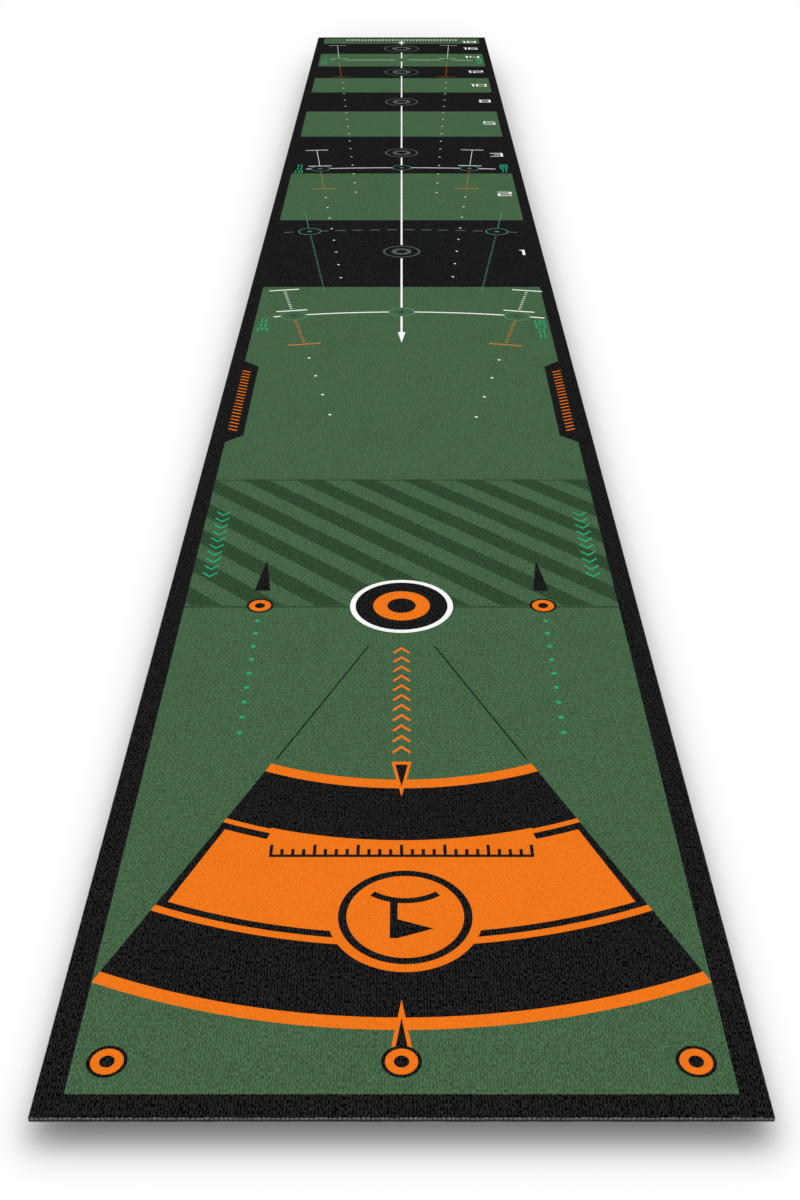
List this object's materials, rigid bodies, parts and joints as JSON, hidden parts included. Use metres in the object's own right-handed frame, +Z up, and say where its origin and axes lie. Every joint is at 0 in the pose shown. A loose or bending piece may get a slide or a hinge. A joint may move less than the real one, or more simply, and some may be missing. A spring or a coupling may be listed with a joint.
{
  "type": "practice putting mat",
  "caption": "Long flat putting practice mat of dyed cut pile on a rubber backing, with a printed hole target, an aiming fan and a distance scale.",
  "frame": {"origin": "middle of the underside, on the floor", "axes": "+X across the mat to the right as the player looks along it, +Y along the mat from the target end to the far end, +Z up from the floor to the pile"},
  "size_m": [0.5, 4, 0.004],
  "materials": {
    "rubber": "matt black foamed rubber",
    "tufting_cloth": "undyed woven cloth",
    "pile_black": "short cut pile, matt",
    "pile_green": "short cut pile, matt",
    "pile_orange": "short cut pile, matt",
    "pile_white": "short cut pile, matt"
  },
  "bodies": {
    "root": {"pile_badge_face": "pile_orange", "pile_badge_line": "pile_black", "pile_badge_rim": "pile_orange", "pile_border_far": "pile_black", "pile_border_left": "pile_black", "pile_border_near": "pile_black", "pile_border_right": "pile_black", "pile_fan_inner_arc": "pile_orange", "pile_fan_inner_band": "pile_black", "pile_fan_outer_arc": "pile_orange", "pile_fan_outer_band": "pile_black", "pile_fan_panel": "pile_orange", "pile_near_spot_left_centre": "pile_black", "pile_near_spot_left_edge": "pile_black", "pile_near_spot_left_ring": "pile_orange", "pile_near_spot_middle_centre": "pile_black", "pile_near_spot_middle_edge": "pile_black", "pile_near_spot_middle_ring": "pile_orange", "pile_near_spot_right_centre": "pile_black", "pile_near_spot_right_edge": "pile_black", "pile_near_spot_right_ring": "pile_orange", "pile_pointer_left": "pile_black", "pile_pointer_right": "pile_black", "pile_scale_band_01": "pile_black", "pile_scale_band_02": "pile_green", "pile_scale_band_03": "pile_black", "pile_scale_band_04": "pile_green", "pile_scale_band_05": "pile_black", "pile_scale_band_06": "pile_green", "pile_scale_band_07": "pile_black", "pile_scale_band_08": "pile_green", "pile_scale_band_09": "pile_black", "pile_scale_band_10": "pile_green", "pile_side_spot_left_centre": "pile_black", "pile_side_spot_left_edge": "pile_black", "pile_side_spot_left_ring": "pile_orange", "pile_side_spot_right_centre": "pile_black", "pile_side_spot_right_edge": "pile_black", "pile_side_spot_right_ring": "pile_orange", "pile_target_centre": "pile_black", "pile_target_disc": "pile_black", "pile_target_rim": "pile_white", "pile_target_ring": "pile_orange", "pile_turf_front": "pile_green", "pile_turf_middle": "pile_green", "pile_turf_near": "pile_green", "pile_turf_striped": "pile_green", "rubber_backing": "rubber", "tufting_cloth": "tufting_cloth"}
  },
  "joints": []
}
